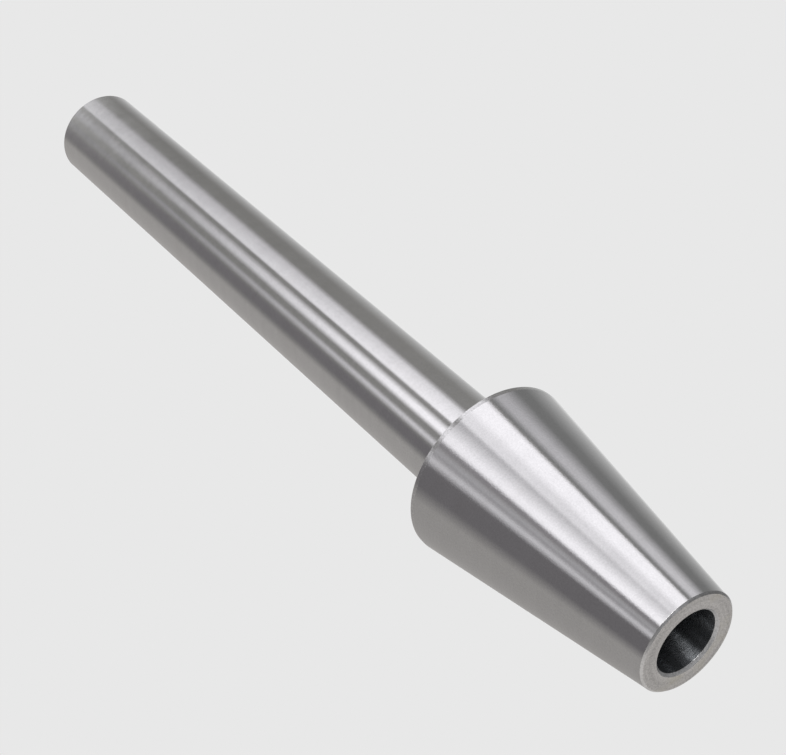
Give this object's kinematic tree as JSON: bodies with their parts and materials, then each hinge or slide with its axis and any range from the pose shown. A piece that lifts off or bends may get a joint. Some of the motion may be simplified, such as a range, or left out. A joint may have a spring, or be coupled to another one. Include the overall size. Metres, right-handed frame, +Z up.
{
  "type": "live center",
  "caption": "Bull-nose live center: a long straight round shank carries a slim tapered steel head with an open nose bore, turning on internal bearings.",
  "frame": {"origin": "on the axis, at the front end of the shank's full diameter, 2 mm behind the head's rear face", "axes": "+X along the axis from the shank to the nose; +Z up; the part is round about X"},
  "size_m": [0.408, 0.072, 0.072],
  "materials": {
    "ground_steel": "cylindrically ground, nearly mirror",
    "ground_head": "ground taper, fine lines round the axis",
    "turned_steel": "turned",
    "rubber": "matt",
    "black_oxide": "blackened alloy steel",
    "pressed_steel": "pressed sheet",
    "bearing_steel": "ground and honed",
    "ball_steel": "lapped",
    "brass": "turned",
    "copper": "annealed copper"
  },
  "bodies": {
    "shank": {"shank": "ground_steel", "thrust_shaft_washer": "bearing_steel", "radial_inner_ring": "bearing_steel", "lock_washer": "pressed_steel", "locknut": "black_oxide"},
    "head": {"head": "ground_head", "rear_cover": "turned_steel", "cover_o_ring": "rubber", "cover_lock_screws": "black_oxide", "shaft_seal_case": "pressed_steel", "shaft_seal_lip": "rubber", "thrust_housing_washer": "bearing_steel", "thrust_cup": "turned_steel", "radial_outer_ring": "bearing_steel", "radial_rear_shield": "pressed_steel", "radial_front_shield": "pressed_steel", "needle_outer_ring": "bearing_steel", "circlip": "black_oxide", "plug_seal_ring": "copper", "grease_plug": "black_oxide"},
    "thrust_set": {"thrust_balls": "ball_steel", "thrust_cage": "brass"},
    "radial_set": {"radial_balls": "ball_steel", "radial_cage": "brass"},
    "needle_set": {"needle_rollers": "ball_steel", "needle_cage": "brass"}
  },
  "joints": [
    {"name": "head_spin", "type": "hinge", "parent": "shank", "child": "head", "pos_m": [0, 0, 0], "axis": [1, 0, 0], "continuous": true},
    {"name": "thrust_cage_spin", "type": "hinge", "parent": "shank", "child": "thrust_set", "pos_m": [0, 0, 0], "axis": [1, 0, 0], "continuous": true},
    {"name": "radial_cage_spin", "type": "hinge", "parent": "shank", "child": "radial_set", "pos_m": [0, 0, 0], "axis": [1, 0, 0], "continuous": true},
    {"name": "needle_cage_spin", "type": "hinge", "parent": "shank", "child": "needle_set", "pos_m": [0, 0, 0], "axis": [1, 0, 0], "continuous": true}
  ],
  "couplings": [
    {"joint": "thrust_cage_spin", "follows": "head_spin", "ratio": 0.5},
    {"joint": "radial_cage_spin", "follows": "head_spin", "ratio": 0.60309},
    {"joint": "needle_cage_spin", "follows": "head_spin", "ratio": 0.55541}
  ]
}
